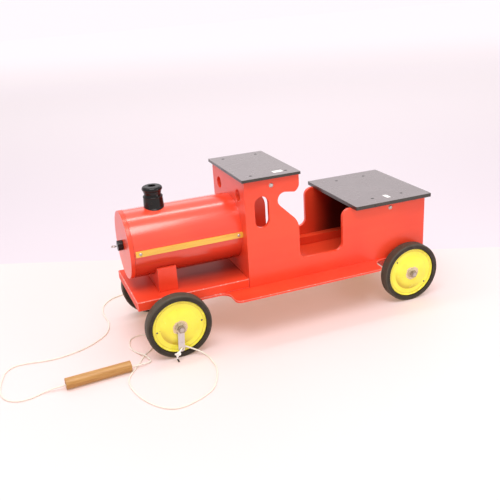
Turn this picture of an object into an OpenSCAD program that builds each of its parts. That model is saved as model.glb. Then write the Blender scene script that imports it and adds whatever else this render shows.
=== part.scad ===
// Ride-on toy locomotive: painted plywood body, tube boiler, pressed-steel wheels with solid
// rubber tyres, and a pull cord with a dowel handle. Sizes are in millimetres.
// +Z is up, the front looks along -X, and the left side is -Y. The origin is on the ground,
// under the middle of the locomotive. Distances named "_d" run rearwards from the front axle.

/* [Wheels and axles] */
// Distance between the two axles
wheelbase = 610; // [590:5:640]
// Outer diameter of a tyre
tyre_dia = 152; // [148:1:154]
// Width of a tyre
tyre_w = 25; // [22:1:26]
// Radial height of a tyre
tyre_h = 18; // [16:1:20]
// Distance from the middle of the locomotive to a tyre's inner face
tyre_in_y = 115.5; // [114:0.5:120]
// Radius of both axles
axle_r = 5; // [4:0.5:6]
// Rise of a wheel disc's dome
dome_rise = 6.5; // [4:0.5:8]

/* [Floor and base] */
// Height of the floor plate's underside
floor_z = 112; // [108:1:116]
// Thickness of the floor plate
floor_t = 5.5; // [4:0.5:7]
// Width of the floor plate behind the running boards
floor_w = 224; // [216:1:224]
// Width over both running boards
running_w = 327; // [322:1:336]
// Width of the base board under the boiler
base_w = 209; // [204:1:212]
// Thickness of the base board
base_t = 22; // [18:1:24]
// Reach of the base board ahead of the front axle
base_front = 82; // [80:1:95]

/* [Body panels] */
// Width over the two side panels
body_w = 214; // [212:1:218]
// Thickness of the side panels, the cab front and the rear panel
panel_t = 9; // [6:0.5:10]
// Distance from the front axle to the cab's front face
cab_front_d = 185; // [181:0.5:188]
// Distance from the front axle to the body's rear face
body_rear_d = 664.5; // [660:0.5:668]
// Height of the roof board's underside
roof_z = 374.5; // [370:0.5:380]
// Height of the seat board's underside
seat_z = 265.5; // [262:0.5:270]
// Height of the sill that the rider steps over
sill_z = 164.5; // [160:0.5:170]

/* [Roof and seat] */
// Length, width and thickness of the roof board
roof_size = [143, 233, 6.5];
// Length, width and thickness of the seat board
seat_size = [210, 260, 9];

/* [Boiler] */
// Outer radius of the boiler
boiler_r = 79.5; // [76:0.5:82]
// Height of the boiler's axis
boiler_z = 242.5; // [241:0.5:246]
// Wall thickness of the boiler tube
boiler_wall = 4; // [3:0.5:6]
// Reach of the boiler's front face ahead of the front axle
boiler_front = 79; // [76:1:82]

/* [Pull cord] */
// Radius of the cord
cord_r = 1.9; // [1.5:0.1:1.9]
// Outer radius of the handle
handle_r = 12.5; // [11:0.5:14]
// Length of the handle
handle_l = 144; // [140:1:150]

/* [Hidden] */
$fn = 96;

left = -1;
right = 1;
red = [0.86, 0.12, 0.09];
black = [0.12, 0.12, 0.12];
yellow = [0.98, 0.9, 0.15];
steel = [0.7, 0.7, 0.7];
rubber = [0.2, 0.19, 0.18];
amber = [0.93, 0.68, 0.15];
natural_wood = [0.8, 0.6, 0.35];
cord_white = [0.93, 0.91, 0.86];

// The nose is the boiler face, the knob and the screw eye, one behind the other
knob_l = 13;
knob_r = 12;
eye_r = 4.6;
eye_wire_r = 1.2;
eye_shank = 2.4;
nose = boiler_front + knob_l + eye_shank + 2 * (eye_r + eye_wire_r);
front_axle_x = -(wheelbase + tyre_dia / 2 - nose) / 2;
axle_z = tyre_dia / 2;

floor_top = floor_z + floor_t;
base_top = floor_top + base_t;
inner_w = body_w - 2 * panel_t;
fit_gap = 0.05;
end_float = 0.3;

// Running boards, in plan
floor_front_d = -40;
running_front_d = 131;
running_rear_d = 514;
running_corner_r = 15;
running_fillet_front = 24;
running_fillet_rear = 26;

// Side panel outline
cab_rear_d = 317;
lobe_rear_d = 320;
lobe_z = 336;
lobe_drop = 5;
lobe_r = 20;
handhold_r = 18;
handhold_d = 283.5;
shoulder_r = 45;
seat_side_d = 432;
sill_fillet = 18;
seat_side_r = 20;
window_r = 17.5;
window_d = 225.5;
window_low_z = 260;
window_high_z = 334.5;

// Cleats under the roof and the seat, and battens along the floor
cleat_w = 18;
cleat_h = 26;
roof_front_d = 178;
roof_cleat_d = [195, 312];
seat_front_d = 457;
seat_cleat_d = [500, 654];
batten_w = 22;
tongue_l = 20;

// Screws: [distance behind the front axle, distance from the middle or height]
porthole_r = 14;
porthole_y = 64;
porthole_z = 333;
roof_screw_d = [209, 295];
seat_screw_d = [523.5, 605.5];
board_screw_y = 91;
sunk_head_r = 3.6;
sunk_head_t = 1.6;
board_screw_r = 1.8;
board_screw_l = 26;
side_screws_at = [[251, 356.5], [565, 248.5]];
side_screw_r = 2;
side_screw_l = 22;
dome_head_r = 5.4;
dome_head_t = 2.6;
handrail_screw_d = [-56.5, 174.5];

// Boiler details
disc_t = 10;
disc_plug = 8;
groove = 0.2;
rear_disc_t = 16;
saddle_l = 44;
saddle_w = 148;
saddle_top = 197;
chimney_d = 3.5;
chimney_top = 370;
chimney_foot_z = 317;
chimney_bore_r = 9;
chimney_bore_l = 18;
spigot_r = 9;
spigot_l = 30;
handrail_h = 13;
handrail_t = 4;
handrail_z = 243.5;
handrail_front_d = -67;
handrail_screw_r = 1.5;

// Wheel section, measured outwards from the tyre's inner face
tyre_r = tyre_dia / 2;
tyre_edge_r = 3;
seat_r = tyre_r - tyre_h;
lip_depth = 6.6;
lip_h = 5.6;
disc_sheet = 1.2;
ring_w = 4.5;
dome_half = 45;
bead_r = 2.1;
bush_r = 8;
bush_in = 2;
bush_out = 3.5;
bush_flange_r = 12.5;
bush_flange_t = 1.5;
rivet_ring_r = 52.5;
rivet_r = 2.2;
rivet_angle_front = 4;
rivet_angle_rear = 140;

// Along an axle, outwards from a wheel
hub_out_y = tyre_in_y + tyre_w + bush_out;
hub_in_y = tyre_in_y - bush_in;
washer_r = 11;
washer_t = 1.5;
nut_r = 9.2;
nut_t = 6;
strap_in_y = hub_out_y + end_float;
strap_t = 2;
front_washer_y = strap_in_y + strap_t + end_float;
rear_washer_y = hub_out_y + end_float;
axle_proud = 2;
front_axle_half = front_washer_y + washer_t + nut_t + axle_proud;
rear_axle_half = rear_washer_y + washer_t + nut_t + axle_proud;
block_l = 44;
block_w = 120;
block_z = 60;
spacer_r = 8;

// Pull strap, hanging from the front axle
strap_w = 15;
strap_head_r = 9;
strap_bend = 33;
strap_bend_angle = 3;
strap_swing = 3.5;
strap_hole = 17;
strap_hole_r = 4.2;

// Handle and cord, lying on the ground
handle_middle = [-482.5, -147.5];
handle_angle = 3;
handle_bore_r = 5;
cord_sides = 8;

// From behind the left strap, round the floor, and through the handle
cord_left_route = [
    [-286.5, -142.33, 26.9], [-283, -142, 27], [-272, -143.5, 20.5], [-262, -145.5, 15],
    [-251, -149.5, 8.5], [-243, -158, 3.6], [-238.5, -172, 2], [-237.5, -190, 2], [-238, -221, 2],
    [-248, -255, 2], [-268, -292, 2], [-294, -313, 2], [-325, -326, 2], [-350, -331, 2],
    [-372, -325, 2], [-392, -307, 2], [-409, -279, 2], [-420, -250, 2], [-427, -215, 2],
    [-426, -185, 2], [-416, -163, 2], [-404, -146, 2], [-391, -128, 2], [-379, -109, 2],
    [-366, -92, 2], [-350, -77, 2], [-336, -58, 2], [-331, -32, 2], [-338, -8, 2], [-358, 5, 2],
    [-380, -3, 2], [-390, -28, 2], [-390, -54, 2], [-381, -80, 3.8], [-370, -101, 6.4],
    [-364, -118, 4.2], [-363, -127, 3.2], [-370, -134, 4], [-384, -138, 6.4], [-400, -142, 8.8],
    [-412, -144, 9.6], [-482.5, -147.5, 9.6], [-551, -150.9, 9.6],
];
// From just inside the handle's far end, round the floor, to the right strap
cord_right_route = [
    [-551.1, -150.9, 9.6], [-568, -150.9, 9.2], [-586, -147.5, 6], [-605, -148, 2.6],
    [-625, -155, 2], [-650, -156, 2], [-671, -145, 2], [-683, -125, 2], [-687, -100, 2],
    [-685, -72, 2], [-680, -48, 2], [-671, -21, 2], [-651, -4, 2], [-620, -4, 2], [-586, -11, 2],
    [-549, -12, 2], [-503, -1, 2], [-464, 20, 2], [-430, 53, 2], [-415, 95, 2], [-414, 122, 2],
    [-417, 160, 2], [-413, 195, 2], [-401, 222, 2], [-378, 246, 2], [-346, 257, 2],
    [-312, 255, 2], [-283, 240, 2], [-268, 214, 2], [-262, 190, 2.2], [-260, 172, 4],
    [-260, 158, 8.5], [-264.5, 149, 15], [-272, 143.8, 21.5], [-283, 142, 27],
    [-286.5, 142.33, 26.9],
];
// The cord's left end, from the front axle: behind the strap, through its hole, a knot, a tail
// Each entry ends with a radius
cord_end = [
    [3.4, -142.35, 26.9, 1.9], [2, -142.5, 26.8, 1.9], [-0.6, -143.2, 26.6, 1.9],
    [-2.4, -145, 26.3, 1.9], [-3.4, -147.4, 26, 1.9], [-6, -150.2, 24.8, 1.9],
    [-10.5, -151.8, 22, 1.9], [-12.5, -152.4, 20.5, 3.8], [-15.5, -153.2, 17.8, 5.4],
    [-17, -153.8, 15.6, 4.6], [-17.6, -154.2, 13.4, 1.9], [-17.8, -155, 9, 1.9],
    [-17, -157, 5, 1.8], [-15.2, -160, 2.1, 1.7],
];

// ---- Helpers ----

// Places children a distance behind the front axle
module behind(d) {
    translate([front_axle_x + d, 0, 0]) children();
}

// A rectangle with its low corner at the origin and round corners
module rounded_rect(size, r) {
    translate([r, 0]) square([size[0] - 2 * r, size[1]]);
    translate([0, r]) square([size[0], size[1] - 2 * r]);
    for (x = [r, size[0] - r])
        for (y = [r, size[1] - r])
            translate([x, y]) circle(r = r);
}

// The inside of a square corner at the origin, filled to a radius, towards [sx, sy]
module corner_fillet(r, sx, sy) {
    difference() {
        translate([sx < 0 ? -r : 0, sy < 0 ? -r : 0]) square(r);
        translate([sx * r, sy * r]) circle(r = r);
    }
}

// Turns a wheel part, drawn outwards along +Z, to a wheel's place
module at_wheel(axle_d, side) {
    translate([front_axle_x + axle_d, side * tyre_in_y, axle_z])
        rotate([-90 * side, 0, 0])
            children();
}

// A flat part drawn as [distance behind the front axle, height], its thickness along Y
module upright(outer_y, t) {
    translate([front_axle_x, outer_y, 0])
        rotate([90, 0, 0])
            linear_extrude(t)
                children();
}

// A hole along Y through the side panels and what they are screwed to
module side_screw_holes() {
    for (s = side_screws_at)
        translate([s[0], s[1]]) circle(r = side_screw_r + fit_gap);
}

// ---- Floor and base ----

module floor_outline() {
    run_half = running_w / 2;
    translate([floor_front_d, -base_w / 2]) square([running_front_d + 30 - floor_front_d, base_w]);
    translate([running_front_d + 20, -floor_w / 2])
        square([body_rear_d - running_front_d - 20, floor_w]);
    translate([running_front_d, -run_half])
        rounded_rect([running_rear_d - running_front_d, running_w], running_corner_r);
    for (side = [left, right]) {
        translate([running_front_d, side * base_w / 2]) corner_fillet(running_fillet_front, -1, side);
        translate([running_rear_d, side * floor_w / 2]) corner_fillet(running_fillet_rear, 1, side);
    }
}

module floor_plate() {
    color(red)
        translate([front_axle_x, 0, floor_z])
            linear_extrude(floor_t)
                floor_outline();
}

module base_board() {
    color(red)
        translate([front_axle_x, 0, floor_top])
            linear_extrude(base_t)
                union() {
                    translate([-base_front, -base_w / 2]) square([base_front + cab_front_d, base_w]);
                    translate([cab_front_d, -inner_w / 2]) square([tongue_l, inner_w]);
                }
}

module floor_batten(side) {
    length = body_rear_d - panel_t - cab_front_d - tongue_l;
    color(red)
        behind(cab_front_d + tongue_l)
            translate([0, side * (inner_w - batten_w) / 2 - batten_w / 2, floor_top])
                cube([length, batten_w, base_t]);
}

module floor_batten_left() { floor_batten(left); }
module floor_batten_right() { floor_batten(right); }

module axle_block(axle_d) {
    color(red)
        behind(axle_d)
            difference() {
                translate([-block_l / 2, -block_w / 2, block_z])
                    cube([block_l, block_w, floor_z - block_z]);
                translate([0, body_w, axle_z])
                    rotate([90, 0, 0]) cylinder(r = axle_r + fit_gap, h = 2 * body_w);
            }
}

module front_axle_block() { axle_block(0); }
module rear_axle_block() { axle_block(wheelbase); }

// ---- Body panels ----

// The cab's rear edge: a rounded lobe under the roof, a hand hold, and a rounded shoulder below
module cab_side_outline() {
    slope_start = handhold_r * sin(45);
    hold_z = lobe_z - handhold_r;
    corner_z = hold_z - slope_start - (cab_rear_d - handhold_d + slope_start);
    shoulder_cut = shoulder_r * tan(22.5);
    lobe_slope = lobe_drop / (lobe_rear_d - handhold_d);
    difference() {
        union() {
            translate([cab_front_d, floor_top])
                square([cab_rear_d - cab_front_d, roof_z - floor_top]);
            polygon([
                [cab_front_d, lobe_z], [handhold_d, lobe_z], [lobe_rear_d, lobe_z - lobe_drop],
                [lobe_rear_d, roof_z], [cab_front_d, roof_z],
            ]);
        }
        translate([handhold_d, hold_z]) circle(r = handhold_r);
        polygon([
            [handhold_d - slope_start, hold_z - slope_start],
            [cab_rear_d, corner_z],
            [cab_rear_d + 30, corner_z],
            [cab_rear_d + 30, lobe_z - lobe_slope * (cab_rear_d + 30 - handhold_d)],
            [handhold_d, lobe_z],
            [handhold_d, hold_z],
        ]);
        difference() {
            polygon([
                [cab_rear_d - shoulder_cut * cos(45), corner_z + shoulder_cut * sin(45)],
                [cab_rear_d + 1, corner_z + 1],
                [cab_rear_d + 1, corner_z - shoulder_cut],
                [cab_rear_d, corner_z - shoulder_cut],
            ]);
            translate([cab_rear_d - shoulder_r, corner_z - shoulder_cut]) circle(r = shoulder_r);
        }
        translate([lobe_rear_d, lobe_z - lobe_drop]) corner_fillet(lobe_r, -1, 1);
    }
}

module side_outline() {
    difference() {
        union() {
            cab_side_outline();
            translate([cab_front_d, floor_top])
                square([body_rear_d - cab_front_d, sill_z - floor_top]);
            difference() {
                translate([seat_side_d, floor_top])
                    square([body_rear_d - seat_side_d, seat_z - floor_top]);
                translate([seat_side_d, seat_z]) corner_fillet(seat_side_r, 1, -1);
            }
            translate([cab_rear_d, sill_z]) corner_fillet(sill_fillet, 1, 1);
            translate([seat_side_d, sill_z]) corner_fillet(sill_fillet, -1, 1);
        }
        translate([window_d - window_r, window_low_z])
            rounded_rect([2 * window_r, window_high_z - window_low_z], window_r - 0.01);
        side_screw_holes();
    }
}

module side_panel(side) {
    color(red)
        upright(side == left ? -inner_w / 2 : body_w / 2, panel_t)
            side_outline();
}

module side_panel_left() { side_panel(left); }
module side_panel_right() { side_panel(right); }

module cab_front() {
    color(red)
        behind(cab_front_d)
            difference() {
                translate([0, -inner_w / 2, base_top]) cube([panel_t, inner_w, roof_z - base_top]);
                for (side = [left, right])
                    translate([-1, side * porthole_y, porthole_z])
                        rotate([0, 90, 0]) cylinder(r = porthole_r, h = panel_t + 2);
            }
}

module rear_panel() {
    color(red)
        behind(body_rear_d - panel_t)
            translate([0, -inner_w / 2, floor_top])
                cube([panel_t, inner_w, seat_z - floor_top]);
}

// Two cleats under a board, with holes for the board's screws and the side screws
module cleats(span, top_z, screw_d) {
    color(red)
        difference() {
            for (y = [-inner_w / 2, inner_w / 2 - cleat_w])
                behind(span[0])
                    translate([0, y, top_z - cleat_h])
                        cube([span[1] - span[0], cleat_w, cleat_h]);
            for (d = screw_d)
                for (side = [left, right])
                    behind(d)
                        translate([0, side * board_screw_y, top_z - cleat_h - 1])
                            cylinder(r = board_screw_r + fit_gap, h = cleat_h + 2);
            upright(body_w / 2, body_w) side_screw_holes();
        }
}

module roof_cleats() {
    cleats(roof_cleat_d, roof_z, roof_screw_d);
}

module seat_cleats() {
    cleats(seat_cleat_d, seat_z, seat_screw_d);
}

// A board on top of the body, with sunk screw holes
module top_board(front_d, size, low_z, corner_r, screw_d) {
    color(black)
        difference() {
            translate([front_axle_x + front_d, -size[1] / 2, low_z])
                linear_extrude(size[2])
                    rounded_rect([size[0], size[1]], corner_r);
            for (d = screw_d)
                for (side = [left, right])
                    behind(d)
                        translate([0, side * board_screw_y, low_z - 1]) {
                            cylinder(r = board_screw_r + fit_gap, h = size[2] + 2);
                            translate([0, 0, 1 + size[2] - sunk_head_t])
                                cylinder(r = sunk_head_r + fit_gap, h = sunk_head_t + 1);
                        }
        }
}

module roof_board() {
    top_board(roof_front_d, roof_size, roof_z, 2, roof_screw_d);
}

module seat_board() {
    top_board(seat_front_d, seat_size, seat_z, 2, seat_screw_d);
}

module board_screws(top_z, screw_d) {
    color(black)
        for (d = screw_d)
            for (side = [left, right])
                behind(d)
                    translate([0, side * board_screw_y, top_z]) {
                        translate([0, 0, -sunk_head_t]) cylinder(r = sunk_head_r, h = sunk_head_t - 0.3);
                        translate([0, 0, -board_screw_l])
                            cylinder(r = board_screw_r, h = board_screw_l - sunk_head_t + 0.2);
                    }
}

module roof_screws() {
    board_screws(roof_z + roof_size[2], roof_screw_d);
}

module seat_screws() {
    board_screws(seat_z + seat_size[2], seat_screw_d);
}

// A round-head screw, its head standing on the plane z = 0
module dome_screw(head_r, head_t, shank_r, shank_l) {
    ball_r = (head_r * head_r + head_t * head_t) / (2 * head_t);
    rotate_extrude()
        union() {
            intersection() {
                translate([0, head_t - ball_r]) circle(r = ball_r);
                square([head_r + 1, head_t + 1]);
            }
            translate([0, -shank_l]) square([shank_r, shank_l + 0.2]);
        }
}

module side_screws() {
    color(steel)
        for (side = [left, right])
            for (s = side_screws_at)
                behind(s[0])
                    translate([0, side * body_w / 2, s[1]])
                        rotate([-90 * side, 0, 0])
                            dome_screw(dome_head_r, dome_head_t, side_screw_r, side_screw_l);
}

// ---- Boiler ----

// A cylinder along X, from one distance behind the front axle to another
module boiler_cylinder(r, from_d, to_d) {
    translate([front_axle_x + from_d, 0, boiler_z])
        rotate([0, 90, 0]) cylinder(r = r, h = to_d - from_d);
}

// Holes for the hand rails' screws, from the boiler's axis outwards
module handrail_screw_holes() {
    for (side = [left, right])
        for (d = handrail_screw_d)
            behind(d)
                translate([0, side * 50, handrail_z])
                    rotate([-90 * side, 0, 0])
                        cylinder(r = handrail_screw_r + fit_gap, h = boiler_r);
}

module boiler_barrel() {
    color(red)
        difference() {
            boiler_cylinder(boiler_r, disc_t - boiler_front, cab_front_d);
            boiler_cylinder(boiler_r - boiler_wall, disc_t - boiler_front - 1, cab_front_d + 1);
            behind(chimney_d)
                translate([0, 0, boiler_z]) cylinder(r = spigot_r + fit_gap, h = boiler_r + 1);
            handrail_screw_holes();
        }
}

module boiler_front_disc() {
    color(red)
        union() {
            boiler_cylinder(boiler_r, -boiler_front, disc_t - boiler_front - groove);
            boiler_cylinder(boiler_r - boiler_wall - fit_gap, -boiler_front + 1,
                disc_t + disc_plug - boiler_front);
        }
}

module boiler_rear_disc() {
    color(red)
        difference() {
            boiler_cylinder(boiler_r - boiler_wall - fit_gap, cab_front_d - rear_disc_t, cab_front_d);
            handrail_screw_holes();
        }
}

module boiler_saddle() {
    color(red)
        difference() {
            behind(-saddle_l / 2)
                translate([0, -saddle_w / 2, base_top])
                    cube([saddle_l, saddle_w, saddle_top - base_top]);
            boiler_cylinder(boiler_r, -saddle_l, saddle_l);
        }
}

// Turned profile: base with a small flare, ring, waisted neck, rounded lip, blind hole
module chimney_section() {
    difference() {
        union() {
            polygon([
                [0, chimney_foot_z - 3], [25.6, chimney_foot_z - 3], [25.6, chimney_foot_z + 1.5],
                [23.4, chimney_foot_z + 5], [22.2, 343], [22.2, 347], [0, 347],
            ]);
            translate([0, 345.2]) square([20.6, 3.8]);
            translate([20.6, 345.4]) circle(r = 2.2);
            polygon([[0, 346], [20.4, 346], [19.3, 352], [20.6, 357], [20.6, 362], [0, 362]]);
            translate([17.4, chimney_top - 6]) circle(r = 6);
            translate([0, chimney_top - 12]) square([17.4, 12]);
        }
        translate([-1, chimney_top - chimney_bore_l]) square([1 + chimney_bore_r, 30]);
        translate([-30, chimney_foot_z - 10]) square([30, 80]);
    }
}

module chimney() {
    color(black)
        behind(chimney_d)
            union() {
                difference() {
                    rotate_extrude() chimney_section();
                    translate([-50, 0, boiler_z])
                        rotate([0, 90, 0]) cylinder(r = boiler_r + fit_gap, h = 100);
                }
                translate([0, 0, chimney_top - chimney_bore_l - 14 - spigot_l])
                    cylinder(r = spigot_r, h = spigot_l + 12);
            }
}

module front_knob() {
    color(black)
        boiler_cylinder(knob_r, -boiler_front - knob_l, -boiler_front);
}

module screw_eye() {
    ring_d = -boiler_front - knob_l - eye_shank - eye_r - eye_wire_r;
    color(steel)
        union() {
            boiler_cylinder(eye_wire_r, ring_d + eye_r, -boiler_front - knob_l);
            translate([front_axle_x + ring_d, 0, boiler_z])
                rotate_extrude() translate([eye_r, 0]) circle(r = eye_wire_r);
        }
}

module handrail(side) {
    length = cab_front_d - handrail_front_d;
    inner_y = boiler_r + fit_gap;
    color(amber)
        upright(side == left ? -inner_y : inner_y + handrail_t, handrail_t)
            difference() {
                translate([handrail_front_d, handrail_z - handrail_h / 2])
                    rounded_rect([length, handrail_h], 2);
                for (d = handrail_screw_d)
                    translate([d, handrail_z]) circle(r = handrail_screw_r + fit_gap);
            }
}

module handrail_left() { handrail(left); }
module handrail_right() { handrail(right); }

module handrail_screws() {
    color(steel)
        for (side = [left, right])
            for (d = handrail_screw_d)
                behind(d)
                    translate([0, side * (boiler_r + fit_gap + handrail_t), handrail_z])
                        rotate([-90 * side, 0, 0]) dome_screw(3.6, 1.8, handrail_screw_r, 14);
}

// ---- Wheels, drawn outwards along +Z from the tyre's inner face ----

module tyre_section() {
    edge = tyre_edge_r;
    difference() {
        union() {
            translate([seat_r, 0]) square([tyre_h - edge, tyre_w]);
            translate([seat_r, edge]) square([tyre_h, tyre_w - 2 * edge]);
            for (w = [edge, tyre_w - edge])
                translate([tyre_r - edge, w]) circle(r = edge);
        }
        translate([seat_r - 1, -1]) square([lip_h + 1, lip_depth + 1]);
        translate([seat_r - 1, tyre_w - lip_depth]) square([lip_h + 1, lip_depth + 1]);
    }
}

module tyre(axle_d, side) {
    color(rubber)
        at_wheel(axle_d, side)
            rotate_extrude() tyre_section();
}

// One pressed disc as a section: domed middle, flat ring, rolled bead and rim wall
module disc_section(rise) {
    ball_r = (dome_half * dome_half + rise * rise) / (2 * rise);
    ring_top = tyre_w - ring_w;
    intersection() {
        translate([0, ring_top + rise - ball_r])
            difference() {
                circle(r = ball_r, $fn = 360);
                circle(r = ball_r - disc_sheet, $fn = 360);
            }
        translate([bush_r + fit_gap, ring_top - 2]) square([dome_half - bush_r + 0.6, rise + 4]);
    }
    translate([dome_half - 0.5, ring_top - disc_sheet])
        square([seat_r - dome_half + 2, disc_sheet]);
    translate([seat_r + bead_r + 0.9, ring_top]) circle(r = bead_r);
    translate([seat_r - disc_sheet, tyre_w / 2])
        square([disc_sheet - fit_gap, ring_top - tyre_w / 2]);
}

module rivet_holes(angle) {
    for (a = [angle, angle + 180])
        rotate([0, 0, a])
            translate([rivet_ring_r, 0, -10]) cylinder(r = 1.4, h = tyre_w + 20);
}

module outer_disc(axle_d, side, angle) {
    color(yellow)
        at_wheel(axle_d, side)
            difference() {
                rotate_extrude() disc_section(dome_rise);
                rivet_holes(angle);
            }
}

module inner_disc(axle_d, side, angle) {
    color(yellow)
        at_wheel(axle_d, side)
            difference() {
                translate([0, 0, tyre_w]) mirror([0, 0, 1]) rotate_extrude() disc_section(4);
                rivet_holes(angle);
            }
}

module hub_bush(axle_d, side) {
    color(steel)
        at_wheel(axle_d, side)
            difference() {
                union() {
                    translate([0, 0, -bush_in])
                        cylinder(r = bush_r, h = bush_in + tyre_w + bush_out);
                    translate([0, 0, tyre_w + bush_out - bush_flange_t])
                        cylinder(r = bush_flange_r, h = bush_flange_t);
                }
                translate([0, 0, -20]) cylinder(r = axle_r + fit_gap, h = tyre_w + 40);
            }
}

// Two rivets tie the discs together through their flat rings
module rivets(axle_d, side, angle) {
    ring_top = tyre_w - ring_w;
    color(steel)
        at_wheel(axle_d, side)
            for (a = [angle, angle + 180])
                rotate([0, 0, a])
                    translate([rivet_ring_r, 0, 0]) {
                        translate([0, 0, ring_w - 1]) cylinder(r = 1.4, h = ring_top - ring_w + 2);
                        translate([0, 0, ring_top]) dome_screw(rivet_r, 1, 1.4, 1);
                    }
}

module tyre_front_left() { tyre(0, left); }
module tyre_front_right() { tyre(0, right); }
module tyre_rear_left() { tyre(wheelbase, left); }
module tyre_rear_right() { tyre(wheelbase, right); }
module outer_disc_front_left() { outer_disc(0, left, rivet_angle_front); }
module outer_disc_front_right() { outer_disc(0, right, rivet_angle_front); }
module outer_disc_rear_left() { outer_disc(wheelbase, left, rivet_angle_rear); }
module outer_disc_rear_right() { outer_disc(wheelbase, right, rivet_angle_rear); }
module inner_disc_front_left() { inner_disc(0, left, rivet_angle_front); }
module inner_disc_front_right() { inner_disc(0, right, rivet_angle_front); }
module inner_disc_rear_left() { inner_disc(wheelbase, left, rivet_angle_rear); }
module inner_disc_rear_right() { inner_disc(wheelbase, right, rivet_angle_rear); }
module hub_bush_front_left() { hub_bush(0, left); }
module hub_bush_front_right() { hub_bush(0, right); }
module hub_bush_rear_left() { hub_bush(wheelbase, left); }
module hub_bush_rear_right() { hub_bush(wheelbase, right); }
module rivets_front_left() { rivets(0, left, rivet_angle_front); }
module rivets_front_right() { rivets(0, right, rivet_angle_front); }
module rivets_rear_left() { rivets(wheelbase, left, rivet_angle_rear); }
module rivets_rear_right() { rivets(wheelbase, right, rivet_angle_rear); }

// ---- Axles and what is on them ----

module axle(axle_d, half) {
    color(steel)
        translate([front_axle_x + axle_d, half, axle_z])
            rotate([90, 0, 0]) cylinder(r = axle_r, h = 2 * half);
}

module front_axle() { axle(0, front_axle_half); }
module rear_axle() { axle(wheelbase, rear_axle_half); }

// A ring on an axle, growing outwards from a distance off the middle
module axle_ring(axle_d, side, from_y, r, t, facets) {
    translate([front_axle_x + axle_d, side * from_y, axle_z])
        rotate([-90 * side, 0, 0])
            difference() {
                cylinder(r = r, h = t, $fn = facets);
                translate([0, 0, -1]) cylinder(r = axle_r + fit_gap, h = t + 2);
            }
}

// Sleeves that keep the wheels off the body
module axle_spacers() {
    color(steel)
        for (axle_d = [0, wheelbase])
            for (side = [left, right])
                axle_ring(axle_d, side, block_w / 2, spacer_r, hub_in_y - end_float - block_w / 2, 96);
}

module axle_washers() {
    color(steel)
        for (side = [left, right]) {
            axle_ring(0, side, front_washer_y, washer_r, washer_t, 96);
            axle_ring(wheelbase, side, rear_washer_y, washer_r, washer_t, 96);
        }
}

module axle_nuts() {
    color(steel)
        for (side = [left, right]) {
            axle_ring(0, side, front_washer_y + washer_t, nut_r, nut_t, 6);
            axle_ring(wheelbase, side, rear_washer_y + washer_t, nut_r, nut_t, 6);
        }
}

// ---- Pull straps, drawn on the left and mirrored for the right ----

module pull_strap() {
    color(steel)
        translate([front_axle_x, -strap_in_y, axle_z])
            rotate([0, strap_swing, 0])
                union() {
                    rotate([90, 0, 0])
                        linear_extrude(strap_t)
                            difference() {
                                union() {
                                    circle(r = strap_head_r);
                                    translate([-strap_w / 2, -strap_bend]) square([strap_w, strap_bend]);
                                }
                                circle(r = axle_r + fit_gap);
                            }
                    translate([0, 0, -strap_bend])
                        rotate([90 - strap_bend_angle, 0, 0])
                            linear_extrude(strap_t)
                                strap_foot();
                }
}

// The strap's lower part, below its bend
module strap_foot() {
    difference() {
        union() {
            translate([-strap_w / 2, -strap_hole]) square([strap_w, strap_hole + 0.3]);
            translate([0, -strap_hole]) circle(r = strap_w / 2);
        }
        translate([0, -strap_hole]) circle(r = strap_hole_r);
    }
}

module pull_strap_left() { pull_strap(); }
module pull_strap_right() { mirror([0, 1, 0]) pull_strap(); }

// ---- Handle and cord ----

module pull_handle() {
    color(natural_wood)
        translate([handle_middle[0], handle_middle[1], handle_r])
            rotate([0, 90, handle_angle])
                difference() {
                    cylinder(r = handle_r, h = handle_l, center = true);
                    cylinder(r = handle_bore_r, h = handle_l + 2, center = true);
                }
}

function unit(v) = v / norm(v);

// The direction of a route at one of its points
function heading(route, i) =
    unit(route[min(i + 1, len(route) - 1)] - route[max(i - 1, 0)]);

// One ring of the tube, square to the route
function ring(centre, along, r) =
    let (across = unit(cross(along, [0, 0, 1])), over = cross(across, along))
    [for (k = [0:cord_sides - 1])
        centre + r * (cos(360 * k / cord_sides) * across + sin(360 * k / cord_sides) * over)];

// A round tube swept along a route's own points, with a radius at each
module cord_tube(route, radii) {
    last = len(route) - 1;
    points = [for (i = [0:last]) each ring(route[i], heading(route, i), radii[i])];
    sides = [for (i = [0:last - 1]) for (k = [0:cord_sides - 1])
        let (next = (k + 1) % cord_sides, a = i * cord_sides)
        [a + k, a + next, a + next + cord_sides, a + k + cord_sides]];
    first_end = [for (k = [cord_sides - 1:-1:0]) k];
    last_end = [for (k = [0:cord_sides - 1]) last * cord_sides + k];
    polyhedron(points, concat(sides, [first_end, last_end]), convexity = 10);
}

module cord(route) {
    color(cord_white) cord_tube(route, [for (p = route) cord_r]);
}

// The cord's end, knotted in front of a strap's hole
module cord_knot(side) {
    color(cord_white)
        cord_tube(
            [for (p = cord_end) [front_axle_x + p[0], -side * p[1], p[2]]],
            [for (p = cord_end) p[3]]);
}

module cord_left() { cord(cord_left_route); }
module cord_right() { cord(cord_right_route); }
module cord_knot_left() { cord_knot(left); }
module cord_knot_right() { cord_knot(right); }

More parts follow.
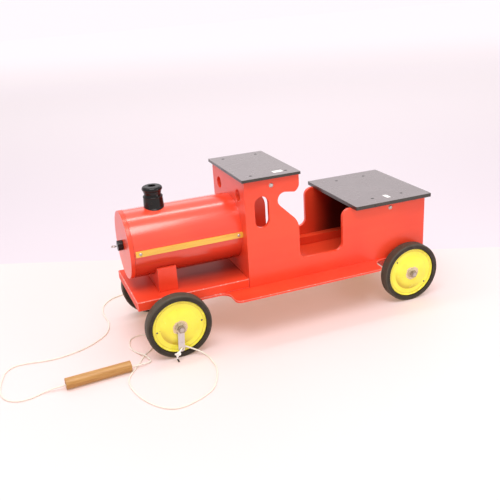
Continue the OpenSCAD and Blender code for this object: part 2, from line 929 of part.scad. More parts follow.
floor_plate();
base_board();
side_panel_left();
side_panel_right();
cab_front();
rear_panel();
floor_batten_left();
floor_batten_right();
roof_cleats();
seat_cleats();
roof_board();
seat_board();
boiler_barrel();
boiler_front_disc();
boiler_rear_disc();
boiler_saddle();
chimney();
front_knob();
screw_eye();
handrail_left();
handrail_right();
handrail_screws();
roof_screws();
seat_screws();
side_screws();
front_axle_block();
rear_axle_block();
front_axle();
rear_axle();
axle_spacers();
axle_washers();
axle_nuts();
tyre_front_left();
outer_disc_front_left();
inner_disc_front_left();
hub_bush_front_left();
rivets_front_left();
tyre_front_right();
outer_disc_front_right();
inner_disc_front_right();
hub_bush_front_right();
rivets_front_right();
tyre_rear_left();
outer_disc_rear_left();
inner_disc_rear_left();
hub_bush_rear_left();
rivets_rear_left();
tyre_rear_right();
outer_disc_rear_right();
inner_disc_rear_right();
hub_bush_rear_right();
rivets_rear_right();
pull_strap_left();
pull_strap_right();
cord_knot_left();
cord_knot_right();
cord_left();
cord_right();
pull_handle();
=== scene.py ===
"""The looks of a ride-on wooden toy locomotive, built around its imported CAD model. Sizes are in metres."""

import math

import bmesh
import bpy
from mathutils import Matrix, Vector, noise


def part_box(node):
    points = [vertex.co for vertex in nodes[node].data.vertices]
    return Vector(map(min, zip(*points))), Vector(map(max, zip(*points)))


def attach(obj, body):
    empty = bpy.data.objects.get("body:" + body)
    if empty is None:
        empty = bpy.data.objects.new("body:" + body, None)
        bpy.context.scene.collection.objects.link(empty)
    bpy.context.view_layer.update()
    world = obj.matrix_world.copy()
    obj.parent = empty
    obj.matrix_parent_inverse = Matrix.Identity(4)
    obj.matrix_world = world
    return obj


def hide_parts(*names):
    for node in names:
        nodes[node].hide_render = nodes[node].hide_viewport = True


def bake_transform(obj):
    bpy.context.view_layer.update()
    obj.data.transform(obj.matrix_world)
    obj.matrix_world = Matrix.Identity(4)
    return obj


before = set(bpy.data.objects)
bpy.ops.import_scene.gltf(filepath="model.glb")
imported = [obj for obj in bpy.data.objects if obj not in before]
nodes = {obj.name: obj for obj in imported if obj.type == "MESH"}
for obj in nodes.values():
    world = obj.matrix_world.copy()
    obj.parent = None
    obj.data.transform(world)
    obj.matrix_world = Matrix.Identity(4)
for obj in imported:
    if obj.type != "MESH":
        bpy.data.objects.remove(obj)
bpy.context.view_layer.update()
MM = 0.001

# ---- Camera, lights and floor ----

CAMERA_AT = Vector((-0.6045, -1.4611, 0.7912))
CAMERA_YAW = 0.357
CAMERA_PITCH = -0.381
CAMERA_ROLL = -0.064
LENS = 48.79


def make_camera():
    forward = Vector((
        math.sin(CAMERA_YAW) * math.cos(CAMERA_PITCH),
        math.cos(CAMERA_YAW) * math.cos(CAMERA_PITCH),
        math.sin(CAMERA_PITCH),
    ))
    level = forward.cross(Vector((0, 0, 1))).normalized()
    upright = level.cross(forward)
    right = math.cos(CAMERA_ROLL) * level + math.sin(CAMERA_ROLL) * upright
    up = -math.sin(CAMERA_ROLL) * level + math.cos(CAMERA_ROLL) * upright
    data = bpy.data.cameras.new("camera")
    data.lens = LENS
    data.sensor_width = 36
    data.clip_start = 0.01
    camera = bpy.data.objects.new("camera", data)
    bpy.context.scene.collection.objects.link(camera)
    turn = Matrix((right, up, -forward)).transposed()
    camera.matrix_world = Matrix.Translation(CAMERA_AT) @ turn.to_4x4()
    bpy.context.scene.camera = camera


def area_light(name, place, target, size, power, colour=(1, 1, 1)):
    data = bpy.data.lights.new(name, "AREA")
    data.shape = "RECTANGLE"
    data.size, data.size_y = size
    data.energy = power
    data.color = colour
    light = bpy.data.objects.new(name, data)
    light.location = place
    light.rotation_euler = (Vector(target) - Vector(place)).to_track_quat("-Z", "Y").to_euler()
    light.visible_camera = False
    bpy.context.scene.collection.objects.link(light)


make_camera()
area_light("key", (-0.6, -1.4, 3.0), (0, 0, 0.1), (2.2, 1.4), 66, (1, 0.985, 0.96))
area_light("top", (-0.2, 0.5, 2.6), (-0.2, 0, 0.1), (3.0, 0.3), 22, (1, 0.985, 0.97))
area_light("side", (0.75, -0.9, 0.55), (0.31, -0.16, 0.1), (0.4, 0.4), 2, (1, 0.99, 0.96))
area_light("back", (0.9, 2.9, 2.3), (0, 0, 0.25), (3.2, 0.9), 8, (1, 0.97, 0.985))


def room_light():
    """A pale room, dimmer low down, by the upward part of a ray's direction."""
    world = bpy.data.worlds.new("world")
    world.use_nodes = True
    tree = world.node_tree
    split = tree.nodes.new("ShaderNodeSeparateXYZ")
    tree.links.new(tree.nodes.new("ShaderNodeTexCoord").outputs["Generated"], split.inputs[0])
    fade = tree.nodes.new("ShaderNodeMapRange")
    tree.links.new(split.outputs["Z"], fade.inputs["Value"])
    for socket, number in zip(fade.inputs[1:5], (0.02, 0.4, 0.68, 0.85)):
        socket.default_value = number
    tree.nodes["Background"].inputs[0].default_value = (1.0, 0.955, 0.975, 1)
    tree.links.new(fade.outputs["Result"], tree.nodes["Background"].inputs[1])
    return world


bpy.context.scene.world = room_light()
bpy.context.scene.view_settings.view_transform = "Standard"

# ---- Materials ----


class Shader:
    """A material under construction around one Principled shader."""

    def __init__(self, name, rough, **sockets):
        self.material = bpy.data.materials.new(name)
        self.material.use_nodes = True
        self.tree = self.material.node_tree
        self.principled = self.tree.nodes["Principled BSDF"]
        self.set("Roughness", rough)
        for socket, value in sockets.items():
            self.set(socket.replace("_", " "), value)
        self.heights = None

    def node(self, kind, **values):
        made = self.tree.nodes.new(kind)
        for key, value in values.items():
            setattr(made, key, value)
        return made

    def feed(self, socket, value):
        if isinstance(value, bpy.types.NodeSocket):
            self.tree.links.new(value, socket)
        elif isinstance(value, (tuple, list)) and len(value) == 3 and socket.type == "RGBA":
            socket.default_value = (*value, 1)
        else:
            socket.default_value = value

    def set(self, socket, value):
        self.feed(self.principled.inputs[socket], value)

    def place(self, scale=(1, 1, 1), centre=(0, 0, 0), turn=(0, 0, 0)):
        """Object coordinates about a centre, turned, then scaled."""
        shift = self.node("ShaderNodeVectorMath", operation="SUBTRACT")
        self.feed(shift.inputs[0], self.node("ShaderNodeTexCoord").outputs["Object"])
        shift.inputs[1].default_value = centre
        mapping = self.node("ShaderNodeMapping")
        self.feed(mapping.inputs["Vector"], shift.outputs[0])
        mapping.inputs["Rotation"].default_value = turn
        mapping.inputs["Scale"].default_value = scale
        return mapping.outputs[0]

    def noise(self, scale, detail=3, rough=0.5, at=None, twist=0):
        made = self.node("ShaderNodeTexNoise")
        self.feed(made.inputs["Vector"], at or self.place())
        made.inputs["Scale"].default_value = scale
        made.inputs["Detail"].default_value = detail
        made.inputs["Roughness"].default_value = rough
        made.inputs["Distortion"].default_value = twist
        return made.outputs["Fac"]

    def ramp(self, value, low, high, out_low=0.0, out_high=1.0):
        made = self.node("ShaderNodeMapRange", interpolation_type="SMOOTHSTEP")
        self.feed(made.inputs["Value"], value)
        for socket, number in zip(made.inputs[1:5], (low, high, out_low, out_high)):
            socket.default_value = number
        return made.outputs["Result"]

    def mix(self, share, a, b):
        made = self.node("ShaderNodeMix", data_type="RGBA")
        self.feed(made.inputs["Factor"], share)
        self.feed(made.inputs[6], a)
        self.feed(made.inputs[7], b)
        return made.outputs[2]

    def maths(self, operation, a, b=0.0):
        made = self.node("ShaderNodeMath", operation=operation)
        self.feed(made.inputs[0], a)
        self.feed(made.inputs[1], b)
        return made.outputs[0]

    def bump(self, height, strength, distance):
        made = self.node("ShaderNodeBump")
        made.inputs["Strength"].default_value = strength
        made.inputs["Distance"].default_value = distance
        self.feed(made.inputs["Height"], height)
        if self.heights:
            self.feed(made.inputs["Normal"], self.heights)
        self.heights = made.outputs[0]
        self.set("Normal", self.heights)

    def normal(self):
        return self.node("ShaderNodeTexCoord").outputs["Normal"]

    def axes(self, vector):
        """A vector's outputs X, Y and Z."""
        split = self.node("ShaderNodeSeparateXYZ")
        self.feed(split.inputs[0], vector)
        return split.outputs

    def dot(self, vector, direction):
        made = self.node("ShaderNodeVectorMath", operation="DOT_PRODUCT")
        self.feed(made.inputs[0], vector)
        made.inputs[1].default_value = direction
        return made.outputs["Value"]

    def length(self, vector):
        made = self.node("ShaderNodeVectorMath", operation="LENGTH")
        self.feed(made.inputs[0], vector)
        return made.outputs["Value"]

    def from_axle(self, centre):
        """The offset from an axle along Y through a centre."""
        flat = self.node("ShaderNodeVectorMath", operation="MULTIPLY")
        self.feed(flat.inputs[0], self.place(centre=centre))
        flat.inputs[1].default_value = (1, 0, 1)
        return flat.outputs[0]


def red_paint(name, worn=0.0, chips=(0.30, 0.11, 0.05), tone=None, inside=None, gloss=0.12,
              bare_below=False, rough=0.29, shine=0.5, low_dark=0.0, under_boiler_shadow=False):
    """Old brushed gloss paint. With worn above 0, chips show in that share of it.

    tone is a share of another colour. chips is the colour under the paint. gloss is the coat's weight, and
    shine the paint's own. bare_below leaves what faces down unpainted. These are shade painted in, which
    stays whatever the light: inside is the direction in which a panel faces the dark seat box, low_dark
    darkens what faces down, and the last flag is a painted shadow under the boiler.
    """
    s = Shader(name, rough, Coat_Weight=gloss, Coat_Roughness=0.18, Specular_IOR_Level=shine)
    shade = s.ramp(s.noise(5, 2), 0.3, 0.75)
    colour = s.mix(shade, (0.86, 0.070, 0.024), (0.76, 0.048, 0.018))
    streaks = s.noise(1, 2, 0.5, s.place(scale=(5, 60, 60)))
    colour = s.mix(s.ramp(streaks, 0.35, 0.75, 0, 0.12), colour, (0.58, 0.018, 0.012))
    specks = s.ramp(s.noise(190, 2), 0.76, 0.82, 0, 0.5)
    colour = s.mix(specks, colour, (0.35, 0.02, 0.015))
    if worn:
        gone = s.ramp(s.noise(120, 4, 0.65), 0.66 - worn * 0.3, 0.70 - worn * 0.3)
        colour = s.mix(gone, colour, chips)
    if tone:
        colour = s.mix(tone[0], colour, tone[1])
    if inside:
        place = s.axes(s.place())
        behind = s.maths("SUBTRACT", place["X"], s.maths("MULTIPLY", place["Z"], 0.12))
        deep = s.ramp(behind, SEAT_FRONT - 0.06, SEAT_FRONT + 0.04)
        deep = s.maths("MULTIPLY", deep, s.ramp(s.dot(s.normal(), inside), 0.6, 0.9))
        colour = s.mix(s.maths("MULTIPLY", deep, 0.93), colour, (0.02, 0.006, 0.005))
    if low_dark:
        up = s.axes(s.normal())["Z"]
        colour = s.mix(s.ramp(up, -0.9, 0.05, low_dark, 0), colour, (0.16, 0.008, 0.006))
    # Painted shadow: the board darkens where the boiler overhangs it.
    if under_boiler_shadow:
        place = s.axes(s.place())
        across = s.ramp(s.maths("ABSOLUTE", place["Y"]), 0.055, 0.10, 0.5, 0)
        along = s.ramp(place["X"], -0.33, -0.19)
        colour = s.mix(s.maths("MULTIPLY", across, along), colour, (0.12, 0.006, 0.005))
    if bare_below:
        grain = s.noise(60, 4, 0.6, s.place(scale=(0.08, 1, 1)))
        bare = s.mix(grain, (0.80, 0.34, 0.24), (0.70, 0.24, 0.16))
        up = s.axes(s.normal())["Z"]
        colour = s.mix(s.ramp(up, -0.9, -0.6, 1, 0), colour, bare)
    s.set("Base Color", colour)
    return s.material


def black_board(name):
    """Black gloss board; its upward faces are grey, partly dust and partly a painted sheen, and its sides
    near-black.
    """
    s = Shader(name, 0.25, Coat_Weight=0.15, Coat_Roughness=0.15)
    # Upward faces turn grey, dust with a painted sheen; the sides stay near-black.
    up = s.ramp(s.axes(s.normal())["Z"], 0.6, 0.95)
    dust = s.mix(s.noise(9, 3), (0.202, 0.172, 0.177), (0.244, 0.213, 0.219))
    speck = s.ramp(s.noise(620, 2, 0.7), 0.6, 0.74, 0, 0.75)
    dust = s.mix(speck, dust, (0.05, 0.042, 0.042))
    edge = s.mix(s.noise(60, 3), (0.022, 0.018, 0.016), (0.045, 0.038, 0.030))
    s.set("Base Color", s.mix(up, edge, dust))
    s.set("Roughness", s.ramp(s.noise(26, 4), 0.25, 0.8, 0.16, 0.36))
    s.bump(s.noise(480, 3, 0.6), 0.16, 0.0004)
    return s.material


def black_paint(name, rough=0.16):
    s = Shader(name, rough, Coat_Weight=0.08, Coat_Roughness=0.1, Specular_IOR_Level=0.3)
    worn = s.ramp(s.noise(90, 4), 0.55, 0.8)
    s.set("Base Color", s.mix(worn, (0.006, 0.005, 0.005), (0.020, 0.014, 0.012)))
    s.set("Roughness", s.ramp(s.noise(45, 3), 0.3, 0.8, rough * 0.7, rough * 1.8))
    s.bump(s.noise(150, 3), 0.1, 0.0005)
    return s.material


def wood(name, light, dark, stretch, turn=(0, 0, 0), rough=0.4, coat=0.0, rings=150):
    """Wood with its grain along X, before the turn."""
    s = Shader(name, rough, Coat_Weight=coat, Coat_Roughness=0.15)
    at = s.place(scale=(stretch, 1, 1), turn=turn)
    grain = s.noise(rings, 5, 0.6, at, 0.4)
    fine = s.noise(rings * 6, 3, 0.6, at)
    colour = s.mix(s.ramp(grain, 0.3, 0.72), light, dark)
    colour = s.mix(s.ramp(fine, 0.55, 0.8, 0, 0.45), colour, tuple(c * 0.5 for c in dark))
    s.set("Base Color", colour)
    s.set("Roughness", s.ramp(grain, 0.3, 0.8, rough * 0.8, rough * 1.3))
    s.bump(fine, 0.18, 0.0004)
    return s.material


def yellow_enamel(name, centre):
    """Enamelled pressed steel, rubbed down to metal round the hub and dirty in the ring, with painted shade on
    the lower edge of the dome and at the rim's bead.
    """
    s = Shader(name, 0.16, Coat_Weight=0.5, Coat_Roughness=0.08)
    offset = s.from_axle(centre)
    plain = s.length(offset)
    radius = s.maths("ADD", plain, s.maths("MULTIPLY", s.noise(70, 4), 0.012))
    colour = s.mix(s.ramp(s.noise(22, 3), 0.35, 0.75), (0.87, 0.81, 0.056), (0.82, 0.72, 0.042))
    bare = s.ramp(radius, 0.0225, 0.0240, 1, 0)
    dirt = s.maths("MULTIPLY", s.ramp(radius, 0.062, 0.071), s.ramp(s.noise(55, 4), 0.35, 0.7))
    specks = s.ramp(s.noise(260, 3, 0.6), 0.69, 0.76, 0, 0.8)
    colour = s.mix(s.maths("MULTIPLY", dirt, 0.55), colour, (0.30, 0.20, 0.05))
    # Painted shade: the edge of the dome darkens on its lower-left side, which faces away from the light.
    low_side = s.dot(offset, (-0.5, 0, -0.86))
    painted_dome_shade = s.maths("MULTIPLY", s.ramp(plain, 0.026, 0.0445), s.ramp(plain, 0.0445, 0.0455, 1, 0))
    painted_dome_shade = s.maths("MULTIPLY", painted_dome_shade, s.ramp(low_side, 0.008, 0.042))
    colour = s.mix(s.maths("MULTIPLY", painted_dome_shade, 0.9), colour, (0.56, 0.38, 0.012))
    # Painted shade: a darker ring in the groove beside the rim's bead.
    rim_bead_shade = s.maths("MULTIPLY", s.ramp(plain, 0.0548, 0.0558), s.ramp(plain, 0.0572, 0.0582, 1, 0))
    colour = s.mix(s.maths("MULTIPLY", rim_bead_shade, 0.4), colour, (0.50, 0.36, 0.02))
    colour = s.mix(specks, colour, (0.20, 0.12, 0.04))
    s.set("Base Color", s.mix(bare, colour, (0.66, 0.54, 0.34)))
    s.set("Metallic", s.maths("MULTIPLY", bare, 0.5))
    s.set("Roughness", s.ramp(s.noise(36, 3), 0.3, 0.8, 0.1, 0.3))
    s.bump(s.noise(46, 3), 0.12, 0.0012)
    return s.material


def tyre_rubber(name, centre):
    s = Shader(name, 0.62, Specular_IOR_Level=0.4)
    tread = s.ramp(s.length(s.from_axle(centre)), 0.0705, 0.0745)
    colour = s.mix(s.noise(40, 4), (0.016, 0.012, 0.007), (0.032, 0.025, 0.014))
    dust = s.ramp(s.noise(90, 5, 0.65), 0.45, 0.75, 0, 0.5)
    colour = s.mix(dust, colour, (0.060, 0.048, 0.036))
    s.set("Base Color", s.mix(s.maths("MULTIPLY", tread, 0.45), colour, (0.112, 0.092, 0.066)))
    s.set("Roughness", s.ramp(s.noise(60, 3), 0.3, 0.8, 0.5, 0.8))
    s.bump(s.noise(330, 4, 0.65), 0.3, 0.0005)
    return s.material


def steel(name, colour=(0.52, 0.49, 0.46), rough=0.34, stain=0.5):
    s = Shader(name, rough, Metallic=0.9)
    rust = s.ramp(s.noise(140, 5, 0.65), 0.52, 0.74, 0, stain)
    s.set("Base Color", s.mix(rust, colour, (0.20, 0.13, 0.09)))
    s.set("Roughness", s.ramp(s.noise(210, 4), 0.25, 0.8, rough * 0.7, rough * 1.6))
    s.bump(s.noise(520, 3), 0.15, 0.0003)
    return s.material


def cotton(name, colour=(0.82, 0.75, 0.65)):
    s = Shader(name, 0.85, Sheen_Weight=0.35, Sheen_Roughness=0.5)
    soil = s.ramp(s.noise(45, 4), 0.4, 0.8, 0, 0.3)
    fibre = s.noise(1500, 3, 0.6)
    base = s.mix(soil, colour, tuple(c * 0.68 for c in colour))
    s.set("Base Color", s.mix(s.ramp(fibre, 0.4, 0.7, 0, 0.25), base, tuple(c * 0.55 for c in colour)))
    s.bump(fibre, 0.4, 0.0003)
    return s.material


def paper(name):
    s = Shader(name, 0.5)
    s.set("Base Color", s.mix(s.noise(150, 4), (0.80, 0.78, 0.76), (0.88, 0.87, 0.85)))
    s.bump(s.noise(400, 3), 0.2, 0.0002)
    return s.material


SEAT_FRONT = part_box("seat_board")[0][0]
RED = red_paint("red_paint")
# The base board's paint, with a painted shadow under the boiler.
RED_DULL = red_paint("red_paint_dull", gloss=0.0, rough=0.46, shine=0.2, under_boiler_shadow=True)
RED_UNDER = red_paint("red_paint_bare_below", bare_below=True)
RED_GLOSS = red_paint("red_paint_gloss", gloss=1.0, rough=0.24, low_dark=0.65)
INSIDE = {"side_panel_left": (0, 1, 0), "side_panel_right": (0, -1, 0), "rear_panel": (-1, 0, 0)}
RED_WORN = red_paint("red_paint_worn", 0.25)
# Edge paint: pale chips of real wear, plus a share of light pink that is a painted highlight along the rounded
# edges.
RED_EDGE_WEAR_AND_HIGHLIGHT = red_paint("red_paint_edge_wear_and_highlight", 0.3, (0.80, 0.42, 0.36), (0.28, (0.95, 0.42, 0.36)))
BLACK_BOARD = black_board("black_board")
BLACK = black_paint("black_paint")
AMBER = wood("varnished_wood", (0.80, 0.49, 0.055), (0.68, 0.36, 0.033), 0.06, rough=0.18, coat=0.7)
DOWEL = wood("bare_wood", (0.50, 0.265, 0.072), (0.39, 0.18, 0.04), 0.05, (0, 0, -0.052), rings=240)
STEEL = steel("bright_steel")
ZINC = steel("strap_zinc", (0.68, 0.67, 0.67), 0.42, 0.2)
PALE_STEEL = steel("pale_steel", (0.74, 0.66, 0.50), 0.55, 0.4)
AGED_STEEL = steel("aged_steel", (0.36, 0.31, 0.24), 0.4, 0.5)
DARK_STEEL = steel("dark_steel", (0.16, 0.13, 0.11), 0.45, 0.7)
COTTON = cotton("cord_cotton")
SOILED = cotton("knot_cotton", (0.90, 0.87, 0.81))
TAPE = black_paint("cord_tip", 0.5)
PAPER = paper("blank_paper")


def floor():
    """One plain floor that glows, a painted fill light that lifts its shadows, redder near the toy as painted
    bounce light from the red paint.

    Its far part has the wall's tint, and rises in the distance to hide the horizon.
    """
    s = Shader("floor", 0.55, Specular_IOR_Level=0.25)
    away = s.axes(s.place(turn=(0, 0, 0.436)))["Y"]
    wall = s.ramp(away, 0.340, 0.348)
    apart = s.ramp(s.length(s.place()), 0.55, 1.3)
    # Near the toy the base colour is pinker and the glow redder: painted red bounce light.
    near_base = s.mix(apart, (0.60, 0.505, 0.545), (0.62, 0.60, 0.585))
    far_base = s.mix(s.ramp(away, 0.35, 3), (0.58, 0.52, 0.565), (0.72, 0.655, 0.68))
    painted_light_near = s.mix(apart, (0.27, 0.183, 0.114), (0.15, 0.143, 0.138))
    far_glow = s.mix(s.ramp(away, 0.35, 8), (0.13, 0.121, 0.125), (0.44, 0.41, 0.42))
    s.set("Base Color", s.mix(wall, near_base, far_base))
    s.set("Emission Color", s.mix(wall, painted_light_near, far_glow))
    s.set("Emission Strength", 1.0)
    mesh = bpy.data.meshes.new("floor")
    far, rises_at, top = 60, 12, 8
    corners = [(-far, -far, 0), (far, -far, 0), (far, rises_at, 0), (-far, rises_at, 0), (far, far, top),
               (-far, far, top)]
    mesh.from_pydata(corners, [], [(0, 1, 2, 3), (3, 2, 4, 5)])
    mesh.materials.append(s.material)
    made = bpy.data.objects.new("floor", mesh)
    bpy.context.scene.collection.objects.link(made)


floor()

# ---- Shapes ----


def sharpen(bm, angle):
    """Shades a mesh smooth except over edges sharper than an angle."""
    for face in bm.faces:
        face.smooth = True
    for edge in bm.edges:
        edge.smooth = edge.is_manifold and edge.calc_face_angle(0) < angle


def piece(name, bm, body, material, replaced=(), angle=0.6):
    """Makes a bmesh into a piece that rides on a body."""
    bmesh.ops.recalc_face_normals(bm, faces=bm.faces)
    sharpen(bm, angle)
    mesh = bpy.data.meshes.new(name)
    bm.to_mesh(mesh)
    bm.free()
    mesh.materials.append(material)
    made = bpy.data.objects.new(name, mesh)
    bpy.context.scene.collection.objects.link(made)
    if body:
        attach(made, body)
    if replaced:
        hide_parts(*replaced)
    return made


def soften(node, width, material, worn, body="locomotive", segments=2):
    """A board in place of its CAD node, its edges rounded over and rubbed; on some boards the edge paint also
    holds a painted highlight.
    """
    bm = bmesh.new()
    bm.from_mesh(nodes[node].data)
    bmesh.ops.remove_doubles(bm, verts=bm.verts, dist=2e-6)
    bmesh.ops.dissolve_limit(bm, angle_limit=0.01, verts=bm.verts, edges=bm.edges)
    made = piece(node + "_eased", bm, None, material, angle=0.5)
    made.data.materials.append(worn)
    ease = made.modifiers.new("ease", "BEVEL")
    ease.limit_method = "ANGLE"
    ease.angle_limit = 0.6
    ease.width = width
    ease.segments = segments
    ease.material = 1
    ease.harden_normals = True
    bpy.context.view_layer.update()
    mesh = bpy.data.meshes.new_from_object(made.evaluated_get(bpy.context.evaluated_depsgraph_get()))
    made.modifiers.clear()
    old, made.data = made.data, mesh
    bpy.data.meshes.remove(old)
    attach(made, body)
    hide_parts(node)
    return made


def dress(material, *names):
    """Gives CAD nodes one material."""
    for name in names:
        mesh = nodes[name].data
        mesh.materials.clear()
        mesh.materials.append(material)
        for polygon in mesh.polygons:
            polygon.material_index = 0


EASE = 0.9 * MM
soften("base_board", 1.8 * MM, RED_DULL, RED_EDGE_WEAR_AND_HIGHLIGHT, segments=3)
soften("floor_plate", 1.0 * MM, RED_UNDER, RED_EDGE_WEAR_AND_HIGHLIGHT)
for board in ("cab_front", "boiler_saddle", "floor_batten_left", "floor_batten_right",
              "front_axle_block", "rear_axle_block"):
    soften(board, EASE, RED, RED_WORN)
for board, facing in INSIDE.items():
    soften(board, EASE, red_paint(board + "_paint", inside=facing), RED_WORN)
for board, ease in (("roof_board", 2.0), ("seat_board", 2.4)):
    soften(board, ease * MM, BLACK_BOARD, BLACK_BOARD, segments=4)
for side in ("left", "right"):
    soften("handrail_" + side, 1.8 * MM, AMBER, AMBER, segments=3)
soften("boiler_front_disc", 0.8 * MM, RED, RED_WORN)
soften("pull_handle", 1.2 * MM, DOWEL, DOWEL, "handle", 3)
soften("front_knob", 1.6 * MM, BLACK, BLACK, segments=3)

dress(RED, "boiler_rear_disc", "roof_cleats", "seat_cleats")
dress(RED_GLOSS, "boiler_barrel")
dress(BLACK, "chimney", "roof_screws", "seat_screws")
dress(STEEL, "screw_eye", "handrail_screws", "side_screws", "front_axle", "rear_axle", "axle_spacers")
dress(AGED_STEEL, "axle_nuts")
dress(PALE_STEEL, "axle_washers")
dress(ZINC, "pull_strap_left", "pull_strap_right")
for where in ("front_left", "front_right", "rear_left", "rear_right"):
    low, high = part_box("tyre_" + where)
    centre = tuple((a + b) / 2 for a, b in zip(low, high))
    enamel = yellow_enamel("yellow_enamel_" + where, centre)
    dress(tyre_rubber("tyre_rubber_" + where, centre), "tyre_" + where)
    dress(enamel, "outer_disc_" + where, "inner_disc_" + where)
    dress(PALE_STEEL, "hub_bush_" + where)
    dress(DARK_STEEL, "rivets_" + where)

# ---- Cord ----

CORD_R = 1.9 * MM
CORD_LEFT = [
    (-286.5, -142.33, 26.9), (-283, -142, 27), (-272, -143.5, 20.5), (-262, -145.5, 15),
    (-251, -149.5, 8.5), (-243, -158, 3.6), (-238.5, -172, 2), (-237.5, -190, 2), (-238, -221, 2),
    (-248, -255, 2), (-268, -292, 2), (-294, -313, 2), (-325, -326, 2), (-350, -331, 2), (-372, -325, 2),
    (-392, -307, 2), (-409, -279, 2), (-420, -250, 2), (-427, -215, 2), (-426, -185, 2), (-416, -163, 2),
    (-404, -146, 2), (-391, -128, 2), (-379, -109, 2), (-366, -92, 2), (-350, -77, 2), (-336, -58, 2),
    (-331, -32, 2), (-338, -8, 2), (-358, 5, 2), (-380, -3, 2), (-390, -28, 2), (-390, -54, 2),
    (-381, -80, 3.8), (-370, -101, 6.4), (-364, -118, 4.2), (-363, -127, 3.2), (-370, -134, 4),
    (-384, -138, 6.4), (-400, -142, 8.8), (-412, -144, 9.6), (-482.5, -147.5, 9.6), (-551, -150.9, 9.6),
]
CORD_RIGHT = [
    (-551.1, -150.9, 9.6), (-568, -150.9, 9.2), (-586, -147.5, 6), (-605, -148, 2.6), (-625, -155, 2),
    (-650, -156, 2), (-671, -145, 2), (-683, -125, 2), (-687, -100, 2), (-685, -72, 2), (-680, -48, 2),
    (-671, -21, 2), (-651, -4, 2), (-620, -4, 2), (-586, -11, 2), (-549, -12, 2), (-503, -1, 2),
    (-464, 20, 2), (-430, 53, 2), (-415, 95, 2), (-414, 122, 2), (-417, 160, 2), (-413, 195, 2),
    (-401, 222, 2), (-378, 246, 2), (-346, 257, 2), (-312, 255, 2), (-283, 240, 2), (-268, 214, 2),
    (-262, 190, 2.2), (-260, 172, 4), (-260, 158, 8.5), (-264.5, 149, 15), (-272, 143.8, 21.5),
    (-283, 142, 27), (-286.5, 142.33, 26.9),
]


def smooth_route(route, step):
    """Points every step or so along a smooth curve through a route."""
    points = [Vector(p) * MM for p in route]
    points = [2 * points[0] - points[1]] + points + [2 * points[-1] - points[-2]]
    line = []
    for a, b, c, d in zip(points, points[1:], points[2:], points[3:]):
        count = max(2, round((c - b).length / step))
        for i in range(count):
            t = i / count
            line.append(0.5 * (2 * b + (c - a) * t + (2 * a - 5 * b + 4 * c - d) * t ** 2
                               + (3 * b - a - 3 * c + d) * t ** 3))
    line.append(points[-2])
    for p in line:
        p.z = max(p.z, CORD_R + 0.02 * MM)
    return line


def rope(bm, line, radius, closed=False, sides=15, lay=9 * MM, strands=3):
    """A twisted rope along a line, its strands standing out of its round section."""
    count = len(line)
    rings = []
    across = None
    walked = 0
    for i, at in enumerate(line):
        before = line[(i - 1) % count if closed else max(i - 1, 0)]
        after = line[(i + 1) % count if closed else min(i + 1, count - 1)]
        along = (after - before).normalized()
        if across is None:
            across = along.orthogonal().normalized()
        across = (across - across.dot(along) * along).normalized()
        over = along.cross(across)
        walked += (at - line[i - 1]).length if i else 0
        ring = []
        for k in range(sides):
            angle = math.tau * k / sides
            lobe = abs(math.cos(strands / 2 * (angle - math.tau * walked / lay)))
            r = radius * (0.84 + 0.16 * lobe)
            ring.append(bm.verts.new(at + r * (math.cos(angle) * across + math.sin(angle) * over)))
        rings.append(ring)
    pairs = list(zip(rings, rings[1:]))
    if closed:
        pairs.append((rings[-1], rings[0]))
    for a, b in pairs:
        for k in range(sides):
            n = (k + 1) % sides
            bm.faces.new((a[k], a[n], b[n], b[k]))
    if not closed:
        bm.faces.new(rings[0][::-1])
        bm.faces.new(rings[-1])


KNOT_SIZE = 1.72 * MM
KNOT_RINGS = 96


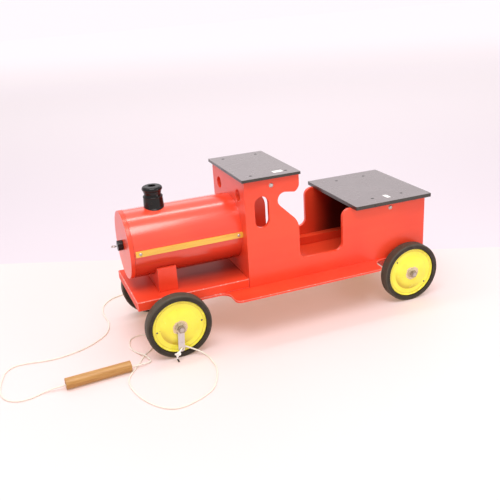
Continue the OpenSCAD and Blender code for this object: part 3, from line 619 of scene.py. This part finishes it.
def knot(side, y_sign):
    """The cord's end: through the strap's hole, a tight knot, and a tail with a taped tip."""
    axle_x = (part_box("front_axle")[0][0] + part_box("front_axle")[1][0]) / 2 / MM

    def near(points):
        return [(axle_x + x, -y_sign * y, z) for x, y, z in points]

    bm = bmesh.new()
    through = near([(3.4, -142.35, 26.9), (-0.6, -143.2, 26.6), (-3.4, -147.4, 26), (-6.5, -150.5, 24.6),
                    (-11, -152, 21.6), (-15, -153, 18.5)])
    rope(bm, smooth_route(through, 0.8 * MM), CORD_R)
    middle = Vector(near([(-15.2, -153.2, 17.2)])[0]) * MM
    turns = []
    for i in range(KNOT_RINGS):
        t = math.tau * i / KNOT_RINGS
        turn = (math.sin(t) + 2 * math.sin(2 * t), math.cos(t) - 2 * math.cos(2 * t), 1.3 * math.sin(3 * t))
        turns.append(middle + KNOT_SIZE * Vector((turn[0] * 1.12, y_sign * turn[2], turn[1] * 0.92)))
    rope(bm, turns, CORD_R, closed=True)
    rope(bm, smooth_route(near([(-16, -154, 15), (-17.2, -154.5, 11), (-17.4, -155.3, 7)]), 0.8 * MM), CORD_R)
    made = piece(f"cord_knot_{side}_tied", bm, "strap_" + side, SOILED,
                 ["cord_knot_" + side], angle=1.2)
    bm = bmesh.new()
    tail = smooth_route(near([(-17.4, -155.2, 7.6), (-16.8, -157, 4.8), (-15.2, -160, 2.1)]), 0.5 * MM)
    rope(bm, tail, CORD_R * 0.95, strands=1, lay=1)
    tip = piece(f"cord_tip_{side}", bm, "strap_" + side, TAPE, angle=1.2)
    return made, tip


def cord(side, route):
    line = smooth_route(route, 1.1 * MM)
    bm = bmesh.new()
    rope(bm, line, CORD_R)
    made = piece(f"cord_{side}_rope", bm, None, COTTON, ["cord_" + side], angle=1.3)
    return made, line, sum((b - a).length for a, b in zip(line, line[1:]))


knot_left, tip_left = knot("left", -1)
knot_right, tip_right = knot("right", 1)
rope_left, line_left, length_left = cord("left", CORD_LEFT)
rope_right, line_right, length_right = cord("right", CORD_RIGHT)
print("cord lengths", length_left, length_right)
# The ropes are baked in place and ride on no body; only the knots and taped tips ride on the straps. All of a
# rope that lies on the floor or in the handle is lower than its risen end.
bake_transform(rope_left)
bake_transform(rope_right)


# ---- Blank stickers ----


def sticker(name, x, y, z, length, width, turn):
    bm = bmesh.new()
    bmesh.ops.create_grid(bm, x_segments=12, y_segments=8, size=0.5)
    for v in bm.verts:
        u, w = v.co.x, v.co.y
        curl = max(0, abs(u * w) * 4 - 0.7) * noise.noise(Vector((u * 4, w * 4, x * 90)))
        lift = 0.16 * MM + 0.25 * MM * curl
        round_off = 1 - 0.05 * max(0, (abs(u) + abs(w)) - 0.9) / 0.1
        v.co = Vector((u * length * round_off, w * width * round_off, lift))
    solid = bmesh.ops.extrude_face_region(bm, geom=bm.faces[:])
    for v in (g for g in solid["geom"] if isinstance(g, bmesh.types.BMVert)):
        v.co.z = 0.02 * MM
    bm.transform(Matrix.Translation((x, y, z)) @ Matrix.Rotation(turn, 4, "Z"))
    piece(name, bm, "locomotive", PAPER)


roof_low, roof_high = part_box("roof_board")
seat_low, seat_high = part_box("seat_board")
sticker("roof_sticker", roof_low[0] + 0.098, -0.0875, roof_high[2], 0.024, 0.014, 0.05)
sticker("seat_sticker", seat_low[0] + 0.105, -0.094, seat_high[2], 0.011, 0.022, 0.02)
